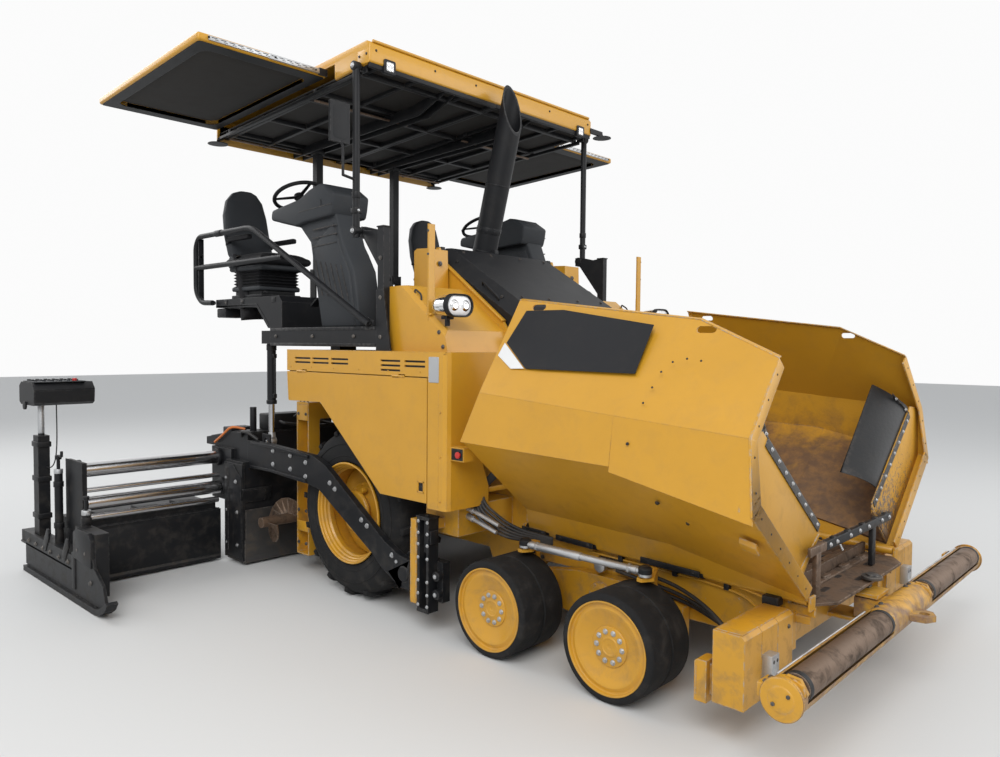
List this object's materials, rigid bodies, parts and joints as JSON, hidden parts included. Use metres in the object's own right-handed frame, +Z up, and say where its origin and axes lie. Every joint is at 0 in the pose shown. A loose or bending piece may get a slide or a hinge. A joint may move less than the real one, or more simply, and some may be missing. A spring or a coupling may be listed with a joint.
{
  "type": "asphalt paver",
  "caption": "Wheeled asphalt paver with folding hopper wings, push beam, augers, a towed screed with sliding extensions, operators' platform and folding canopy.",
  "frame": {"origin": "on the ground, under the middle of the machine's overall length and width", "axes": "+X forward towards the hopper, +Y to the machine's left, +Z up"},
  "size_m": [5.81, 4.96, 3.707],
  "materials": {
    "yellow_paint": "gloss, worn",
    "black_paint": "satin",
    "grey_paint": "satin",
    "worn_steel": "worn, brown with asphalt",
    "bright_steel": "polished",
    "seat_cover": "satin",
    "tyre_rubber": "matt, dusty"
  },
  "bodies": {
    "chassis": {"main_frame": "yellow_paint", "hull": "yellow_paint", "engine_block": "grey_paint", "conveyor": "worn_steel", "bogie_beams": "yellow_paint", "deck": "black_paint", "rails": "black_paint", "consoles": "grey_paint", "stack": "black_paint", "tow_tracks": "black_paint", "auger_frame": "black_paint", "headlamps": "grey_paint"},
    "hood": {"hood": "black_paint"},
    "door_right": {"door_right": "yellow_paint"},
    "door_left": {"door_left": "yellow_paint"},
    "seat_right": {"seat_right": "seat_cover"},
    "seat_left": {"seat_left": "seat_cover"},
    "drive_wheel_right": {"drive_rim_right": "yellow_paint", "drive_tyre_right": "tyre_rubber"},
    "drive_wheel_left": {"drive_rim_left": "yellow_paint", "drive_tyre_left": "tyre_rubber"},
    "knuckle_rear_right": {"knuckle_rear_right": "yellow_paint"},
    "knuckle_front_right": {"knuckle_front_right": "yellow_paint"},
    "knuckle_rear_left": {"knuckle_rear_left": "yellow_paint"},
    "knuckle_front_left": {"knuckle_front_left": "yellow_paint"},
    "front_wheel_rear_right": {"front_rim_rear_right": "yellow_paint", "front_tyre_rear_right": "tyre_rubber"},
    "front_wheel_front_right": {"front_rim_front_right": "yellow_paint", "front_tyre_front_right": "tyre_rubber"},
    "front_wheel_rear_left": {"front_rim_rear_left": "yellow_paint", "front_tyre_rear_left": "tyre_rubber"},
    "front_wheel_front_left": {"front_rim_front_left": "yellow_paint", "front_tyre_front_left": "tyre_rubber"},
    "tie_rod_right": {"tie_rod_right": "bright_steel"},
    "tie_rod_left": {"tie_rod_left": "bright_steel"},
    "wing_right": {"wing_right": "yellow_paint"},
    "wing_left": {"wing_left": "yellow_paint"},
    "push_beam": {"push_beam": "yellow_paint"},
    "push_roller_right": {"push_roller_right": "worn_steel"},
    "push_roller_left": {"push_roller_left": "worn_steel"},
    "tow_points": {"tow_points": "black_paint"},
    "screed": {"tow_arms": "black_paint", "screed_main": "black_paint", "screed_plate": "worn_steel"},
    "ext_right": {"extension_right": "black_paint", "ext_tubes_right": "bright_steel", "end_gate_right": "black_paint"},
    "ext_left": {"extension_left": "black_paint", "ext_tubes_left": "bright_steel", "end_gate_left": "black_paint"},
    "auger_right": {"auger_right": "worn_steel"},
    "auger_left": {"auger_left": "worn_steel"},
    "lift_barrels": {"lift_barrels": "black_paint"},
    "lift_rods": {"lift_rods": "bright_steel"},
    "canopy_front_posts": {"canopy_front_posts": "black_paint"},
    "canopy_rear_posts": {"canopy_rear_posts": "black_paint"},
    "canopy_roof": {"canopy_roof": "yellow_paint", "canopy_lamps": "grey_paint"},
    "canopy_wing_right": {"canopy_wing_right": "black_paint"},
    "canopy_wing_left": {"canopy_wing_left": "black_paint"}
  },
  "joints": [
    {"name": "hood_lift", "type": "hinge", "parent": "chassis", "child": "hood", "pos_m": [-0.121, 0, 2.425], "axis": [0, -1, 0], "range_deg": [0, 60]},
    {"name": "door_lift_right", "type": "hinge", "parent": "chassis", "child": "door_right", "pos_m": [-0.275, -1.25, 1.56], "axis": [-1, 0, 0], "range_deg": [0, 85]},
    {"name": "door_lift_left", "type": "hinge", "parent": "chassis", "child": "door_left", "pos_m": [-0.275, 1.25, 1.56], "axis": [1, 0, 0], "range_deg": [0, 85]},
    {"name": "seat_slide_right", "type": "slide", "parent": "chassis", "child": "seat_right", "axis": [1, 0, 0], "range_m": [0, 0.15]},
    {"name": "seat_slide_left", "type": "slide", "parent": "chassis", "child": "seat_left", "axis": [1, 0, 0], "range_m": [0, 0.15]},
    {"name": "drive_spin_right", "type": "hinge", "parent": "chassis", "child": "drive_wheel_right", "pos_m": [-0.475, -0.925, 0.59], "axis": [0, 1, 0], "continuous": true},
    {"name": "drive_spin_left", "type": "hinge", "parent": "chassis", "child": "drive_wheel_left", "pos_m": [-0.475, 0.925, 0.59], "axis": [0, 1, 0], "continuous": true},
    {"name": "steer_rear_right", "type": "hinge", "parent": "chassis", "child": "knuckle_rear_right", "pos_m": [0.945, -0.74, 0.272], "axis": [0, 0, 1], "range_deg": [-20, 20]},
    {"name": "steer_front_right", "type": "hinge", "parent": "chassis", "child": "knuckle_front_right", "pos_m": [1.748, -0.74, 0.272], "axis": [0, 0, 1], "range_deg": [-20, 20]},
    {"name": "steer_rear_left", "type": "hinge", "parent": "chassis", "child": "knuckle_rear_left", "pos_m": [0.945, 0.74, 0.272], "axis": [0, 0, 1], "range_deg": [-20, 20]},
    {"name": "steer_front_left", "type": "hinge", "parent": "chassis", "child": "knuckle_front_left", "pos_m": [1.748, 0.74, 0.272], "axis": [0, 0, 1], "range_deg": [-20, 20]},
    {"name": "front_spin_rear_right", "type": "hinge", "parent": "knuckle_rear_right", "child": "front_wheel_rear_right", "pos_m": [0.945, -1.025, 0.272], "axis": [0, 1, 0], "continuous": true},
    {"name": "front_spin_front_right", "type": "hinge", "parent": "knuckle_front_right", "child": "front_wheel_front_right", "pos_m": [1.748, -1.025, 0.272], "axis": [0, 1, 0], "continuous": true},
    {"name": "front_spin_rear_left", "type": "hinge", "parent": "knuckle_rear_left", "child": "front_wheel_rear_left", "pos_m": [0.945, 1.025, 0.272], "axis": [0, 1, 0], "continuous": true},
    {"name": "front_spin_front_left", "type": "hinge", "parent": "knuckle_front_left", "child": "front_wheel_front_left", "pos_m": [1.748, 1.025, 0.272], "axis": [0, 1, 0], "continuous": true},
    {"name": "tie_rod_turn_right", "type": "hinge", "parent": "knuckle_rear_right", "child": "tie_rod_right", "pos_m": [1.015, -0.96, 0.618], "axis": [0, 0, 1], "range_deg": [-20, 20]},
    {"name": "tie_rod_turn_left", "type": "hinge", "parent": "knuckle_rear_left", "child": "tie_rod_left", "pos_m": [1.015, 0.96, 0.618], "axis": [0, 0, 1], "range_deg": [-20, 20]},
    {"name": "wing_fold_right", "type": "hinge", "parent": "chassis", "child": "wing_right", "pos_m": [2.513, -0.634, 0.56], "axis": [-0.9995, 0, 0.0321], "range_deg": [0, 36]},
    {"name": "wing_fold_left", "type": "hinge", "parent": "chassis", "child": "wing_left", "pos_m": [2.513, 0.634, 0.56], "axis": [0.9995, 0, -0.0321], "range_deg": [0, 36]},
    {"name": "push_beam_swing", "type": "hinge", "parent": "chassis", "child": "push_beam", "pos_m": [2.595, 0, 0.405], "axis": [0, 0, 1], "range_deg": [-5, 5]},
    {"name": "push_roller_spin_right", "type": "hinge", "parent": "push_beam", "child": "push_roller_right", "pos_m": [2.75, -0.84, 0.435], "axis": [0, 1, 0], "continuous": true},
    {"name": "push_roller_spin_left", "type": "hinge", "parent": "push_beam", "child": "push_roller_left", "pos_m": [2.75, 0.84, 0.435], "axis": [0, 1, 0], "continuous": true},
    {"name": "tow_point_lift", "type": "slide", "parent": "chassis", "child": "tow_points", "axis": [0, 0, 1], "range_m": [0, 0.1]},
    {"name": "screed_lift", "type": "hinge", "parent": "tow_points", "child": "screed", "pos_m": [0.205, -1.15, 0.32], "axis": [0, 1, 0], "range_deg": [0, 7]},
    {"name": "extension_slide_right", "type": "slide", "parent": "screed", "child": "ext_right", "axis": [0, 1, 0], "range_m": [0, 1]},
    {"name": "extension_slide_left", "type": "slide", "parent": "screed", "child": "ext_left", "axis": [0, -1, 0], "range_m": [0, 1]},
    {"name": "auger_spin_right", "type": "hinge", "parent": "chassis", "child": "auger_right", "pos_m": [-1.485, -0.6, 0.37], "axis": [0, 1, 0], "continuous": true},
    {"name": "auger_spin_left", "type": "hinge", "parent": "chassis", "child": "auger_left", "pos_m": [-1.485, 0.6, 0.37], "axis": [0, 1, 0], "continuous": true},
    {"name": "lift_swing", "type": "hinge", "parent": "chassis", "child": "lift_barrels", "pos_m": [-1.515, -1.085, 1.79], "axis": [0, -1, 0], "range_deg": [0, 9]},
    {"name": "lift_rod_slide", "type": "slide", "parent": "lift_barrels", "child": "lift_rods", "axis": [0, 0, 1], "range_m": [0, 0.205]},
    {"name": "canopy_fold", "type": "hinge", "parent": "chassis", "child": "canopy_front_posts", "pos_m": [-0.255, -1.206, 2.489], "axis": [0, -1, 0], "range_deg": [0, 45]},
    {"name": "canopy_rear_fold", "type": "hinge", "parent": "chassis", "child": "canopy_rear_posts", "pos_m": [-1.875, -0.42, 2.364], "axis": [0, -1, 0], "range_deg": [0, 45]},
    {"name": "canopy_level", "type": "hinge", "parent": "canopy_front_posts", "child": "canopy_roof", "pos_m": [-0.255, -1.206, 3.545], "axis": [0, -1, 0], "range_deg": [-45, 0]},
    {"name": "canopy_wing_slide_right", "type": "slide", "parent": "canopy_roof", "child": "canopy_wing_right", "axis": [0, 1, 0], "range_m": [0, 0.9]},
    {"name": "canopy_wing_slide_left", "type": "slide", "parent": "canopy_roof", "child": "canopy_wing_left", "axis": [0, -1, 0], "range_m": [0, 0.9]}
  ],
  "couplings": [
    {"joint": "steer_front_right", "follows": "steer_rear_right", "ratio": 1},
    {"joint": "steer_rear_left", "follows": "steer_rear_right", "ratio": 1},
    {"joint": "steer_front_left", "follows": "steer_rear_right", "ratio": 1},
    {"joint": "tie_rod_turn_right", "follows": "steer_rear_right", "ratio": -1},
    {"joint": "tie_rod_turn_left", "follows": "steer_rear_right", "ratio": -1},
    {"joint": "lift_swing", "follows": "screed_lift", "ratio": 1.24},
    {"joint": "lift_rod_slide", "follows": "screed_lift", "m_per_rad": 1.63},
    {"joint": "canopy_rear_fold", "follows": "canopy_fold", "ratio": 1},
    {"joint": "canopy_level", "follows": "canopy_fold", "ratio": -1}
  ]
}
